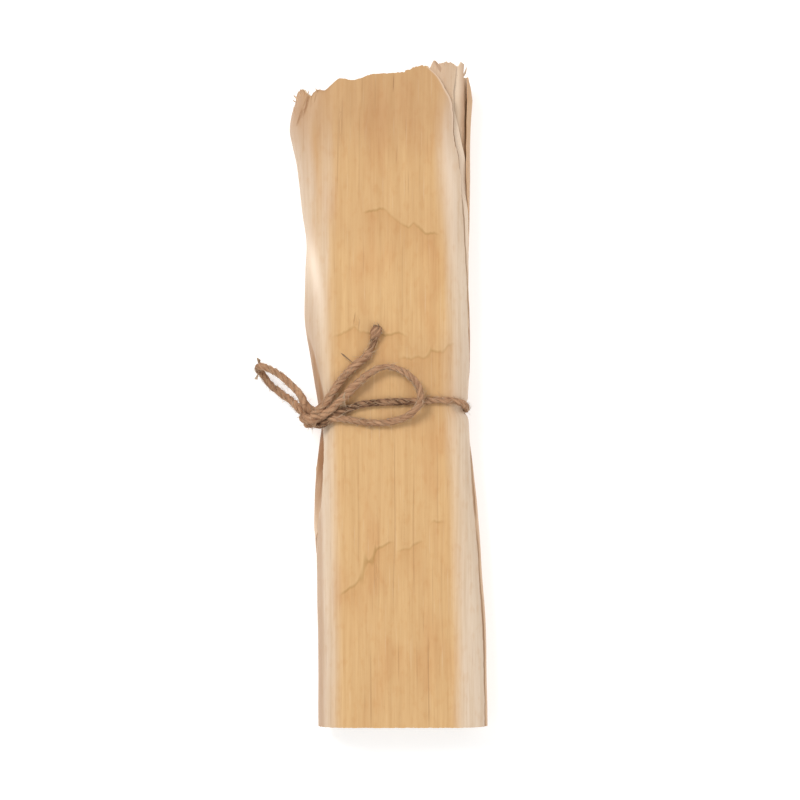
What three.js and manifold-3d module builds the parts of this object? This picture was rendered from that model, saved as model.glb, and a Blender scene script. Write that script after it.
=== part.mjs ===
// A bundle of dried banana bark: leaf sheaths of a banana stem laid over one another, pressed flat and tied
// round the middle with a bow of jute twine. Millimetres, +Z up. The bundle lies on its back: its length runs
// along Y with the straight cut end at -Y and the torn end at +Y, and its front faces up.
import * as THREE from 'three';
import { mergeVertices } from 'three/addons/utils/BufferGeometryUtils.js';
import Module from 'manifold-3d';

// Driving dimensions
const HALF_THICKNESS = 12.5; // half the bundle's thickness away from the tie
const TIED_HALF_THICKNESS = 9.8; // the same where the twine pulls it in
const CROWN = 0.08; // rise of the front towards its middle, as a share of its height over the centre
const SHEET = 1.5; // thickness of a sheath on its flat face
const RIM = 0.8; // thickness of a sheath at its margins
const PITCH = 2.2; // from one sheath to the next one inside it
const TWINE = 4; // diameter of the twine
const TWINE_STEP = 3; // length of a facet along the twine
const CLEAR = 0.35; // air left between pieces that touch
const TIE_Y = -6; // where the twine goes round
const TIE_SPAN = 70; // how far along the bark the pinch of the tie reaches
const TIE_FLOOR = 0.25; // air under the twine where it passes below the bundle
const CUT_Y = -152.4; // the straight cut end
// The bow's knot: half sizes of its lumps, their places along the bundle, its turn round the left side in
// degrees and its middle's distance from the bark
const KNOT = { round: 4.1, along: 5.2, wide: 3.4, lumps: [-2.4, 2.4], y: -9.4, turn: 72, off: 5.2 };
const TAIL_END = { radius: 2.8, length: 3.9 }; // the long tail's cut end, where its strands open up, half sizes
// Where the rows of facets lie from the cut end (0) to the torn end (1), close together at the tie and the tear
const ROWS = [0, 0.13, 0.26, 0.36, 0.43, 0.49, 0.54, 0.6, 0.68, 0.78, 0.87, 0.93, 0.97, 1];
const BARK_ROUGHNESS = 0.6;
const JUTE = 0xa98467;
const JUTE_ROUGHNESS = 0.9;
const CENTRE = [0.4, -0.1]; // the middle of the bark's box, moved onto the origin

// A smooth curve through [position, value] points with rising position, level beyond its ends
function through(points) {
  const last = points.length - 1;
  const slope = (i) => {
    const [x0, v0] = points[Math.max(i - 1, 0)];
    const [x1, v1] = points[Math.min(i + 1, last)];
    return (v1 - v0) / (x1 - x0);
  };
  return (x) => {
    if (x <= points[0][0]) return points[0][1];
    if (x >= points[last][0]) return points[last][1];
    const i = points.findIndex((point) => point[0] > x) - 1;
    const [[x0, v0], [x1, v1]] = [points[i], points[i + 1]];
    const span = x1 - x0;
    const t = (x - x0) / span;
    const bend = slope(i) * (1 - t) ** 2 * t - slope(i + 1) * (1 - t) * t ** 2;
    return v0 + (v1 - v0) * t * t * (3 - 2 * t) + span * bend;
  };
}

// Sides of the bundle along its length: wide at the torn end, drawn in at the tie, leaning right at the cut end
const leftSide = through([
  [-153, -32], [-94, -32], [-57, -31], [-25, -30.6], [-14, -30.8], [-3, -32.6], [18, -35.9], [36, -38.6],
  [57, -38.8], [70, -38.3], [84, -40.2], [105, -42.6], [121, -44.8], [136, -43.3], [150, -42.8],
]);
const rightSide = through([
  [-153, 43.4], [-94, 41.5], [-57, 39.5], [-25, 36.5], [-6, 36.2], [34, 36.9], [66, 36.6], [150, 36.5],
]);

// The cross-section is a flat front and a flat back joined by round shoulders
const TIE_LIFT = TIED_HALF_THICKNESS + TWINE + CLEAR + TIE_FLOOR - HALF_THICKNESS;
function sectionAt(y) {
  const away = Math.min(Math.abs(y - TIE_Y) / TIE_SPAN, 1);
  const pinch = Math.cos((Math.PI / 2) * away) ** 2;
  const half = THREE.MathUtils.lerp(HALF_THICKNESS, TIED_HALF_THICKNESS, pinch);
  const left = leftSide(y) + half;
  const right = rightSide(y) - half;
  const height = HALF_THICKNESS + TIE_LIFT * pinch;
  return { half, height, middle: (left + right) / 2, flat: (right - left) / 2 };
}

// A point of a curve parallel to the section's outline: `radius` at its shoulders, `arc` along it from the
// middle of the face, rightwards, and `out` away from it. Face 1 is the front and -1 the back
function onSection(y, radius, arc, face, out = 0) {
  const { half, height, middle, flat } = sectionAt(y);
  const side = Math.sign(arc);
  const past = Math.abs(arc) - flat;
  const round = Math.PI * radius;
  let x = Math.min(Math.abs(arc), flat);
  let angle = 0;
  if (past > round + 2 * flat) {
    x = -flat;
    angle = Math.PI + (past - round - 2 * flat) / radius;
  } else if (past > round) {
    x = flat - (past - round);
    angle = Math.PI;
  } else if (past > 0) {
    angle = past / radius;
  }
  x = middle + side * (x + (radius + out) * Math.sin(angle));
  let z = face * (radius + out) * Math.cos(angle);
  if (z > 0) z *= 1 + CROWN * (1 - ((x - middle) / (flat + half)) ** 2);
  return new THREE.Vector3(x, y, height + z);
}

// Height of the bundle's front face
function frontHeight(x, y) {
  const { half, height, middle, flat } = sectionAt(y);
  const past = Math.max(Math.abs(x - middle) - flat, 0);
  const rise = 1 + CROWN * (1 - ((x - middle) / (flat + half)) ** 2);
  return height + Math.sqrt(Math.max(half ** 2 - past ** 2, 0)) * rise;
}

// Where a sheath's margin ends, in millimetres past the line where the shoulder starts
function degrees(points) {
  const turn = through(points);
  return (y, radius) => THREE.MathUtils.degToRad(turn(y)) * radius;
}
const short = (by) => () => -by; // ends on the flat face
// Goes round the side and back across the other face
const folded = (by) => (y, radius) => Math.PI * radius + 2 * sectionAt(y).flat - by;
const flush = () => 0;

// The sheaths. `inside` counts from the outermost, and the two ends run across from the left margin (-1) to the
// right one (1). The front sheath's upper right corner is torn off along its margin
const SHEATHS = [
  {
    name: 'front_sheath', colour: 0xdeb27c, face: 1, inside: 0, facets: 22,
    left: degrees([[-153, 80], [-57, 78], [-25, 80], [-6, 95], [11, 100], [66, 107], [150, 107]]),
    right: degrees([
      [-153, 80], [-57, 80], [-25, 85], [-6, 95], [20, 90], [34, 73], [48, 66], [74, 54], [98, 44],
      [110, 34.5], [120, 26], [132, 22], [137, 15], [145, -7], [150, -29],
    ]),
    torn: through([[-1, 134], [-0.64, 139], [-0.3, 140.8], [-0.15, 143.8], [0.3, 146.3], [1, 149.8]]),
  },
  {
    name: 'second_sheath', colour: 0xd2b89a, face: 1, inside: 1, facets: 18,
    left: degrees([[-153, 85], [-6, 85], [150, 100]]),
    right: degrees([[-153, 85], [-6, 80], [40, 58], [60, 45], [110, 30], [137, 31], [151, 42]]),
    torn: through([[-1, 137], [0.3, 144.5], [1, 152.2]]),
  },
  {
    name: 'third_sheath', colour: 0xdcc6b2, face: 1, inside: 2, facets: 16,
    left: degrees([[-153, 80], [-6, 80], [150, 95]]),
    right: degrees([[-153, 85], [-6, 85], [60, 80], [150, 85]]),
    rightFlare: through([[20, 0], [40, 1.4], [60, 2.8], [75, 3], [150, 3]]),
    torn: through([[-1, 138.5], [0.2, 143], [1, 151.4]]),
  },
  {
    name: 'folded_sheath', colour: 0xc99f70, face: 1, inside: 3, facets: 22,
    left: degrees([[-153, 150], [150, 150]]), right: folded(4), torn: through([[-1, 141], [1, 144]]),
  },
  {
    name: 'core_strip', colour: 0xb98a63, face: 1, inside: null, facets: 4,
    left: short(1), right: short(1), torn: through([[-1, 139], [1, 146]]),
  },
  {
    name: 'inner_back_sheath', colour: 0xcda377, face: -1, inside: 1, facets: 16,
    left: degrees([[-153, 85], [-6, 85], [150, 70]]),
    right: degrees([[-153, 85], [-6, 85], [150, 80]]),
    torn: through([[-1, 136.5], [1, 148]]),
  },
  {
    name: 'back_sheath', colour: 0xd9b697, face: -1, inside: 0, facets: 22,
    left: degrees([[-153, 92], [-57, 94], [-25, 92], [-6, 76], [11, 72], [66, 64], [150, 64]]),
    right: degrees([
      [-153, 93], [-57, 93], [-25, 87], [-6, 76], [20, 82], [34, 99], [48, 106], [75, 111], [150, 111],
    ]),
    leftFlare: through([[-153, 0], [-121, 0.7], [-94, 1.5], [-57, 3.2], [-25, 2.7], [-6, 0]]),
    rightFlare: through([
      [-153, 2], [-94, 1.8], [-57, 1.4], [-25, 0.9], [-6, 0], [11, 0], [66, 0.5], [150, 0.9],
    ]),
    torn: through([[-1, 138], [1, 146]]),
  },
];

// A sheath is a box of facets bent into place: its width goes round the section, its height along the bundle
function sheathGeometry({ face, inside, facets, left, right, leftFlare = flush, rightFlare = flush, torn }) {
  const rows = ROWS.length - 1;
  const geometry = new THREE.BoxGeometry(2, rows, 2, facets, rows, 1);
  const corners = geometry.attributes.position;
  for (let i = 0; i < corners.count; i += 1) {
    const across = face * corners.getX(i);
    const row = Math.round(corners.getY(i) + rows / 2);
    const y = THREE.MathUtils.lerp(CUT_Y, torn(across), ROWS[row]);
    const { half, flat } = sectionAt(y);
    const radius = inside === null ? 0 : half - SHEET / 2 - inside * PITCH;
    const ends = [-flat - left(y, radius), flat + right(y, radius)];
    const arc = THREE.MathUtils.lerp(...ends, (across + 1) / 2);
    const flare = arc < 0 ? leftFlare(y) : rightFlare(y);
    const margin = Math.max(Math.abs(arc) - flat, 0) / Math.max(Math.abs(ends[arc < 0 ? 0 : 1]) - flat, RIM);
    const thickness = THREE.MathUtils.lerp(SHEET, RIM, margin ** 2);
    const out = flare * margin ** 2 + (corners.getZ(i) * thickness) / 2;
    corners.setXYZ(i, ...onSection(y, radius, arc, face, out));
  }
  return geometry;
}

// The twine, laid along points, as a tube with eight sides
function twineGeometry(points) {
  const outline = new THREE.Shape().absarc(0, 0, TWINE / 2, 0, 2 * Math.PI);
  const extrudePath = new THREE.CatmullRomCurve3(points);
  const steps = Math.ceil(extrudePath.getLength() / TWINE_STEP);
  return new THREE.ExtrudeGeometry(outline, { extrudePath, steps, curveSegments: 4, bevelEnabled: false });
}

// The wrap leaves the knot over the front, goes round the right side and comes back under the bundle
const WRAP_RADIUS = TIED_HALF_THICKNESS + TWINE / 2 + CLEAR;
const WRAP_POINTS = 40;
const wrapLine = through([
  [-33, -8.4], [-20, -5], [0, -2.6], [20, -2.8], [30, -4.5], [45, -7], [80, -8], [124, -10.5],
]);
const WRAP_ENDS = [-34.6, 128]; // where it starts and ends at the knot, along the section
function wrapPath() {
  return Array.from({ length: WRAP_POINTS + 1 }, (_, i) => {
    const arc = THREE.MathUtils.lerp(...WRAP_ENDS, i / WRAP_POINTS);
    return onSection(wrapLine(arc), WRAP_RADIUS, arc, 1);
  });
}

// Twine that lies on the front: each point is x, y and its height over the bark
const onFront = ([x, y, lift]) => new THREE.Vector3(x, y, frontHeight(x, y) + TWINE / 2 + CLEAR + lift);
const rightLoopPath = [
  [-30.8, -5, 5.6], [-25.5, -3.6, 4.4], [-19.8, 0.7, 2], [-14.2, 6.6, 1.7], [-8.2, 11.2, 2], [-2, 12.6, 2.5],
  [4.1, 11.6, 3.2], [8.7, 9, 4], [12.3, 5.3, 4.7], [14.2, 0.7, 5.1], [13.9, -3.9, 5.2], [11.4, -7.5, 4.8],
  [7.8, -10.3, 3.6], [2.7, -12.1, 2.6], [-4.6, -13, 1.8], [-12.3, -12.6, 1.2], [-21.9, -11.8, 0.6],
  [-27, -12.4, 1], [-30.4, -13.4, 4],
].map(onFront);
const tailPath = [
  [-32.7, -2.2, 4.6], [-28.4, 0.9, 1.4], [-23.7, 6.6, 0.5], [-17.6, 11.8, 0.2], [-12.9, 15.8, 0], [-9.6, 19.6, 0],
  [-7.8, 23.5, 0.3], [-5.8, 29, 1.2], [-5.3, 31.5, 1.4],
].map(onFront);

// The left loop stands on edge beside the bundle, with its lower strand resting on the ground
const leftLoopPath = [
  [-38.8, -4.3, 21], [-40.6, -0.2, 21], [-44.3, 3.9, 20], [-48.4, 7.5, 18.4], [-53.2, 10.8, 16.4],
  [-57.4, 12.9, 13.4], [-60.5, 12.9, 9.6], [-61.3, 11, 5.8], [-59.4, 8, 3.1], [-54.6, 3.9, 2.9],
  [-49.4, 0.2, 6], [-44.9, -2.9, 11.4], [-41.3, -6.4, 17.2],
].map((point) => new THREE.Vector3(...point));

// The short tail points down the bundle from the knot
const stubPath = [[-37.2, -13, 17], [-38, -15.6, 15.6]].map((point) => new THREE.Vector3(...point));

// Joining solids
const wasm = await Module();
wasm.setup();
function solid(geometry) {
  const plain = geometry.clone();
  plain.deleteAttribute('normal');
  plain.deleteAttribute('uv');
  const merged = mergeVertices(plain, 1e-4);
  const vertProperties = new Float32Array(merged.attributes.position.array);
  const triVerts = new Uint32Array(merged.index.array);
  return new wasm.Manifold(new wasm.Mesh({ numProp: 3, vertProperties, triVerts }));
}
function join(...geometries) {
  const { vertProperties, triVerts } = wasm.Manifold.union(geometries.map(solid)).getMesh();
  const joined = new THREE.BufferGeometry();
  joined.setAttribute('position', new THREE.BufferAttribute(vertProperties, 3));
  joined.setIndex(new THREE.BufferAttribute(triVerts, 1));
  joined.computeVertexNormals();
  return joined;
}

// The bow's knot sits on the left side of the bundle, with the short tail cut off close to it
function knotGeometry() {
  const turn = THREE.MathUtils.degToRad(KNOT.turn);
  const arc = -sectionAt(KNOT.y).flat - turn * TIED_HALF_THICKNESS;
  const middle = onSection(KNOT.y, TIED_HALF_THICKNESS, arc, 1, KNOT.off);
  const lumps = KNOT.lumps.map((y) => {
    const lump = new THREE.SphereGeometry(1, 12, 8).scale(KNOT.along, KNOT.wide, KNOT.round).rotateY(-turn);
    return lump.translate(middle.x, middle.y + y, middle.z);
  });
  const stub = twineGeometry([middle, ...stubPath]);
  return join(...lumps, stub);
}

// The long tail's strands open up at its cut end
function tailGeometry() {
  const end = tailPath.at(-2);
  const lean = Math.atan2(tailPath.at(-1).x - end.x, tailPath.at(-1).y - end.y);
  const lump = new THREE.SphereGeometry(1, 10, 8);
  lump.scale(TAIL_END.radius, TAIL_END.length, TAIL_END.radius).rotateZ(-lean).translate(...end);
  return join(twineGeometry(tailPath), lump);
}

const bundle = new THREE.Group();
bundle.position.set(-CENTRE[0], -CENTRE[1], 0);
function place(name, geometry, color, roughness) {
  const mesh = new THREE.Mesh(geometry, new THREE.MeshStandardMaterial({ color, roughness, metalness: 0 }));
  mesh.name = name;
  bundle.add(mesh);
}
for (const sheath of SHEATHS) place(sheath.name, sheathGeometry(sheath), sheath.colour, BARK_ROUGHNESS);
place('twine_wrap', twineGeometry(wrapPath()), JUTE, JUTE_ROUGHNESS);
place('twine_knot', knotGeometry(), JUTE, JUTE_ROUGHNESS);
place('bow_loop_left', twineGeometry(leftLoopPath), JUTE, JUTE_ROUGHNESS);
place('bow_loop_right', twineGeometry(rightLoopPath), JUTE, JUTE_ROUGHNESS);
place('twine_tail', tailGeometry(), JUTE, JUTE_ROUGHNESS);

export default bundle;
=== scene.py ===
# A bundle of dried banana bark: leaf sheaths of a banana stem laid over one another, pressed flat and tied
# round the middle with a bow of jute twine. It lies on its back, in the CAD part's frame. Shapes are worked
# out in millimetres and become metres at the end.
import functools
import math
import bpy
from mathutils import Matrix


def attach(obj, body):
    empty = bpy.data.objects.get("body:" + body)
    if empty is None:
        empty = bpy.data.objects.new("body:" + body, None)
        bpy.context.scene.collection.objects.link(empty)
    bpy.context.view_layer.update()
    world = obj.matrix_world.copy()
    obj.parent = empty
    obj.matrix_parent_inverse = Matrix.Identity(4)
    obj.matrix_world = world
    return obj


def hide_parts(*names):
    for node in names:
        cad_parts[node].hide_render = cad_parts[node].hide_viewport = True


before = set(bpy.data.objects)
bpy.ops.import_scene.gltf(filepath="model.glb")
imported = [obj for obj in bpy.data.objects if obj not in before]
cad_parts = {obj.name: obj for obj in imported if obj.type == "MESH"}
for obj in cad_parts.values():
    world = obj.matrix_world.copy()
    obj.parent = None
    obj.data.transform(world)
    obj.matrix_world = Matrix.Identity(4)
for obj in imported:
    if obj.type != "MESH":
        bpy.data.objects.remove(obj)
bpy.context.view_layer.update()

import types

import bpy
import numpy as np

MM = 0.001
CENTRE = np.array([0.4, -0.1, 0.0])  # the middle of the bark's box, moved onto the origin
SMALL = 1e-6

# Camera, straight above the bundle
VIEW_WIDTH = 365.3  # what the picture shows from side to side at the height of the front
VIEW_MIDDLE = (4.6, -2.4)
FRONT_HEIGHT, CAMERA_DISTANCE = 26, 2000
SENSOR = 36
CAMERA_REACH = 20  # metres
scene = bpy.context.scene
camera = bpy.data.objects.new("camera", bpy.data.cameras.new("camera"))
camera.data.sensor_width = SENSOR
camera.data.lens = SENSOR * CAMERA_DISTANCE / VIEW_WIDTH
camera.data.clip_end = CAMERA_REACH
camera.location = np.array([*VIEW_MIDDLE, FRONT_HEIGHT + CAMERA_DISTANCE]) * MM
scene.collection.objects.link(camera)
scene.camera = camera


# Curves and unevenness
def through(points):
    """A smooth curve through [position, value] points with rising position, level beyond its ends"""
    places, values = np.array(points, float).T
    index = np.arange(len(places))
    before, after = np.maximum(index - 1, 0), np.minimum(index + 1, index[-1])
    slopes = (values[after] - values[before]) / (places[after] - places[before])

    def at(x):
        x = np.clip(x, places[0], places[-1])
        i = np.clip(np.searchsorted(places, x, side="right") - 1, 0, len(places) - 2)
        span = places[i + 1] - places[i]
        t = (x - places[i]) / span
        bend = slopes[i] * (1 - t) ** 2 * t - slopes[i + 1] * (1 - t) * t**2
        return values[i] + (values[i + 1] - values[i]) * t * t * (3 - 2 * t) + span * bend

    return at


def fade(x, start, end):
    """Goes smoothly from 0 at start to 1 at end"""
    t = np.clip((x - start) / (end - start), 0, 1)
    return t * t * (3 - 2 * t)


def band(x, start, full, full_end, end):
    """Rises smoothly from 0 at start to 1 at full, and goes back from 1 at full_end to 0 at end"""
    return fade(x, start, full) * fade(x, end, full_end)


def bump(x, middle, span):
    """1 in the middle, falling off to both sides"""
    return np.exp(-(((x - middle) / span) ** 2))


def unit(steps):
    """Steps brought to length 1"""
    return steps / np.linalg.norm(steps, axis=-1, keepdims=True)


# They scatter the values of neighbouring corners
SCATTER_X, SCATTER_Y, SCATTER_SEED, SCATTER = 127.1, 311.7, 74.7, 43758.5453


def uneven(x, y, seed):
    """Smooth unevenness from -1 to 1, about one swell to a unit of x and of y"""
    x, y = np.broadcast_arrays(np.asarray(x, float), np.asarray(y, float))
    x0, y0 = np.floor(x), np.floor(y)
    u, v = fade(x - x0, 0, 1), fade(y - y0, 0, 1)

    def corner(i, j):
        value = np.sin((x0 + i) * SCATTER_X + (y0 + j) * SCATTER_Y + seed * SCATTER_SEED) * SCATTER
        return 2 * (value - np.floor(value)) - 1

    low = corner(0, 0) * (1 - u) + corner(1, 0) * u
    high = corner(0, 1) * (1 - u) + corner(1, 1) * u
    return low * (1 - v) + high * v


def layered(x, y, layers, seed=0):
    """Unevenness in layers, each with its height, its size along x and along y, and a seed of its own"""
    return sum(high * uneven(x / wide, y / long, seed + own) for high, wide, long, own in layers)


# The bundle's section, as in the CAD part but a little fuller below the tie: a flat front and a flat back
# joined by round shoulders
HALF_THICKNESS, TIED_HALF_THICKNESS = 12.5, 9.8
CROWN = 0.08  # how much the front is vaulted
SHEET, SHEET_RIM, PITCH = 1.5, 0.45, 2.2  # a sheath's thickness, that of its rim, and from sheath to sheath
LEAST_MARGIN = 0.8
TWINE, CLEAR, SINK = 4, 0.35, 0.35  # the twine's thickness, its room under the bark, and how deep it sinks in
TIE_Y, TIE_SPAN, TIE_FLOOR = -6, 70, 0.25  # where the tie is, how far it pinches, its height over the floor
TIE_LIFT = TIED_HALF_THICKNESS + TWINE + CLEAR + TIE_FLOOR - HALF_THICKNESS
CUT_Y = -152.4
left_side = through([
    [-153, -32.7], [-117, -33], [-94, -33.3], [-66, -33.8], [-45, -33.4], [-30, -32.4], [-21, -31.2],
    [-14, -30.8], [-3, -33], [18, -36.5], [36, -38.8], [57, -38.8], [70, -38.3], [84, -40.2], [105, -42.8],
    [114, -44.8], [121, -46.2], [128, -45.4], [136, -43.3], [150, -42.8],
])
right_side = through([
    [-153, 44.9], [-127, 44.6], [-105, 44], [-81, 42.2], [-69, 41.5], [-56, 40.4], [-40, 38.8], [-21, 36.9],
    [-6, 36.4], [11, 36.9], [34, 36.8], [66, 36.6], [150, 36.5],
])
# The twine bites into the right side where it goes round it: how deep, where and how wide along the bundle,
# and between which places across it
BITE, BITE_Y, BITE_SPAN, BITE_FROM, BITE_FULL = 2.5, -6.6, 2.6, 22, 35


def section(y):
    """Half thickness, height of the middle, sideways middle and half width of the flat faces"""
    pinch = np.cos(np.pi / 2 * np.minimum(np.abs(y - TIE_Y) / TIE_SPAN, 1)) ** 2
    half = HALF_THICKNESS + (TIED_HALF_THICKNESS - HALF_THICKNESS) * pinch
    left, right = left_side(y) + half, right_side(y) - half
    return half, HALF_THICKNESS + TIE_LIFT * pinch, (left + right) / 2, (right - left) / 2


FRONT, BACK = 1, -1


def on_section(y, radius, arc, face, out=0):
    """Points of a curve parallel to the section's outline: radius at its shoulders, arc along it from the
    middle of the face, rightwards, and out away from it. The face is FRONT or BACK"""
    half, height, middle, flat = section(y)
    side, past, turn = np.sign(arc), np.abs(arc) - flat, np.pi * radius
    bend = np.maximum(radius, SMALL)
    x = np.minimum(np.abs(arc), flat)
    angle = np.clip(past, 0, turn) / bend
    x = np.where(past > turn, np.maximum(flat - (past - turn), -flat), x)
    angle = angle + np.maximum(past - turn - 2 * flat, 0) / bend
    x = middle + side * (x + (radius + out) * np.sin(angle))
    x = x - BITE * bump(y, BITE_Y, BITE_SPAN) * fade(x, BITE_FROM, BITE_FULL)
    z = face * (radius + out) * np.cos(angle)
    z = np.where(z > 0, z * (1 + CROWN * (1 - ((x - middle) / (flat + half)) ** 2)), z)
    return np.stack(np.broadcast_arrays(x, y, height + z), -1)


def front_height(x, y):
    """Height of the front's surface"""
    half, height, middle, flat = section(y)
    past = np.maximum(np.abs(x - middle) - flat, 0)
    rise = 1 + CROWN * (1 - ((x - middle) / (flat + half)) ** 2)
    return height + np.sqrt(np.maximum(half**2 - past**2, 0)) * rise


# Meshes
def tube(rings, sides, number=0):
    """Corner numbers of a tube's rings and the faces between them, where it is one of many such tubes"""
    grid = number * rings * sides + np.arange(rings * sides).reshape(rings, sides)
    after = np.roll(grid, -1, 1)
    return grid, np.stack([grid[:-1], after[:-1], after[1:], grid[1:]], -1).reshape(-1, 4)


# Angles in degrees from which an edge is sharp
BARK_SHARP, TWINE_SHARP, SPLINTER_SHARP = 50, 75, 40


def piece(name, corners, faces, materials, which=None, values=None, node=None, slot=None, sharp=BARK_SHARP):
    """A piece of the bundle from corners in millimetres, with its materials, which of them each face has, and
    the values that they read at each corner"""
    mesh = bpy.data.meshes.new(name)
    mesh.from_pydata((np.asarray(corners) - CENTRE) * MM, [], np.asarray(faces).tolist())
    for finish in materials:
        mesh.materials.append(finish)
    if which is not None:
        mesh.polygons.foreach_set("material_index", np.asarray(which, np.int32))
    for key, value in (values or {}).items():
        told = mesh.attributes.new(key, "FLOAT", "POINT")
        told.data.foreach_set("value", np.asarray(value, np.float32).ravel())
    mesh.shade_smooth()
    mesh.set_sharp_from_angle(angle=math.radians(sharp))
    made = bpy.data.objects.new(name, mesh)
    scene.collection.objects.link(made)
    if slot:
        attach(made, "root")
        if node:
            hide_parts(node)
    return made


# Materials
def paint(code):
    """A colour written as sRGB hex, in linear light"""
    parts = [int(code[i : i + 2], 16) / 255 for i in (1, 3, 5)]
    return (*[p / 12.92 if p <= 0.04045 else ((p + 0.055) / 1.055) ** 2.4 for p in parts], 1)


def add_node(tree, kind, inputs=None, output=0, **settings):
    """Adds a node, sets it, links or fills its inputs and gives one of its outputs"""
    made = tree.nodes.new("ShaderNode" + kind)
    for key, value in settings.items():
        setattr(made, key, value)
    for key, value in (inputs or {}).items():
        if isinstance(value, bpy.types.NodeSocket):
            tree.links.new(value, made.inputs[key])
        else:
            made.inputs[key].default_value = value
    return made.outputs[output] if made.outputs else made


def material(name):
    """A material without nodes yet, and the function above for its nodes"""
    made = bpy.data.materials.new(name)
    made.use_nodes = True
    made.node_tree.nodes.clear()
    return made, functools.partial(add_node, made.node_tree)


RANGE = ("Value", "From Min", "From Max", "To Min", "To Max")
DRIED_LEAF_IOR, JUTE_IOR, ACRYLIC_IOR = 1.45, 1.5, 1.49
# What the bark's skin reads at every corner, as it is where the skin has no mark: the place across and along
# the sheath in millimetres, how pale, brown and bleached it is, and tears and veins with the distance to
# them.
# Besides real colour, the brown also carries painted shade, the bleach a painted highlight and the veins
# painted shadow lines
FAR = 50.0
UNMARKED = {
    "across": 0, "along": 0, "pale": 0, "brown": 0, "bleach": 0,
    "tear": 0, "tear_offset": FAR, "bare": 0, "vein": 0, "vein_offset": FAR,
}
# Streaks by their width and length in millimetres, detail and seed: fibres, bundles of fibres, worn patches,
# odd fibres, mottling. Single fibres are about 0.2 mm wide and are drawn coarser here, so that they show
STREAKS = ((0.9, 26, 2, 13), (2.6, 80, 2, 51), (13, 36, 2, 97), (0.6, 26, 1, 142), (2.4, 6, 2, 179))


def bark_skin(tint, dark, light, pale, cream, umber, roughness):
    """Outer skin of a dried leaf sheath: a thin waxy cuticle over long parallel fibres. The eye gets soft
    streaks along the sheath, paler papery margins, the edges of torn skin and a satin glare"""
    made, add = material(tint + " dried sheath skin")
    told = {key: add("Attribute", output=2, attribute_name=key) for key in UNMARKED}
    streaks = []
    for wide, long, detail, seed in STREAKS:
        place = add("CombineXYZ", {0: told["across"], 1: told["along"], 2: seed})
        place = add("VectorMath", {0: place, 1: (1 / wide, 1 / long, 1)}, operation="MULTIPLY")
        streaks.append(add("TexNoise", {"Vector": place, "Scale": 1, "Detail": detail, "Roughness": 0.5}))
    fibre, bundle, patch, odd, mottle = streaks
    both = add("Math", {0: fibre, 1: bundle}, operation="ADD")
    torn = add("Math", {0: told["tear_offset"]}, operation="ABSOLUTE")
    split = add("Math", {0: told["vein_offset"]}, operation="ABSOLUTE")
    # What each share is made from, where it starts and is full, and its least and greatest amount
    share = {
        key: add("MapRange", dict(zip(RANGE, limits)), interpolation_type="SMOOTHSTEP")
        for key, *limits in (
            ("light", both, 0.58, 1.42, 0, 1), ("margin", both, 0.68, 1.32, 0, 1),
            ("worn", patch, 0.47, 0.72, 0, 0.24), ("mottle", mottle, 0.48, 0.74, 0, 0.22),
            ("dark", odd, 0.64, 0.8, 0, 0.22), ("fair", odd, 0.36, 0.24, 0, 0.16),
            ("broken", patch, 0.3, 0.62, 0.25, 1), ("edge", torn, 0.95, 0.1, 0, 0.42),
            ("under", told["tear_offset"], 0.4, -0.4, 0, 1), ("over", told["tear_offset"], 1.2, 4, 0, 1),
            ("split", split, 0.45, 0.05, 0, 0.45),
            ("satin", bundle, 0.3, 0.7, roughness - 0.06, roughness + 0.08),
        )
    }
    # A tear has a dark broken edge and a tanner layer laid bare below it
    edge = add("Math", {0: share["edge"], 1: told["tear"]}, operation="MULTIPLY")
    edge = add("Math", {0: edge, 1: share["broken"]}, operation="MULTIPLY")
    bare = add("Math", {0: share["under"], 1: share["over"]}, operation="MAXIMUM")
    bare = add("Math", {0: bare, 1: told["bare"]}, operation="MULTIPLY")
    vein = add("Math", {0: share["split"], 1: told["vein"]}, operation="MULTIPLY")
    tan = add("Math", {0: bare, 1: 0.26}, operation="MULTIPLY")
    margin = add("Mix", {0: share["margin"], 6: paint(cream), 7: paint(pale)}, 2, data_type="RGBA")
    colour = add("Mix", {0: share["light"], 6: paint(dark), 7: paint(light)}, 2, data_type="RGBA")
    # The brown lays painted shade too, the bleach a painted highlight, and the vein mix painted shadow lines
    for amount, over, blend in (
        (share["worn"], paint("#E2B486"), "MULTIPLY"), (told["pale"], margin, "MIX"),
        (share["mottle"], paint("#E9CDA8"), "MULTIPLY"), (share["dark"], paint(umber), "MULTIPLY"),
        (share["fair"], paint("#F0DCC0"), "MIX"), (told["bleach"], paint("#F6E0C9"), "MIX"),
        (told["brown"], paint(umber), "MIX"), (tan, paint("#DDB67C"), "MULTIPLY"),
        (edge, paint("#9A7535"), "MIX"), (vein, paint("#8F6238"), "MIX"),
    ):
        colour = add("Mix", {0: amount, 6: colour, 7: over}, 2, data_type="RGBA", blend_type=blend)
    relief = add("Math", {0: fibre, 1: 0.4, 2: bundle}, operation="MULTIPLY_ADD")
    for layer, height in ((mottle, 0.3), (odd, 0.2), (bare, -0.5), (vein, -1.6)):
        relief = add("Math", {0: layer, 1: height, 2: relief}, operation="MULTIPLY_ADD")
    normal = add("Bump", {"Strength": 0.8, "Distance": 0.1 * MM, "Height": relief})
    surface = add("BsdfPrincipled", {
        "Base Color": colour, "Roughness": share["satin"], "IOR": DRIED_LEAF_IOR, "Normal": normal,
    })
    add("OutputMaterial", {"Surface": surface})
    return made


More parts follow.
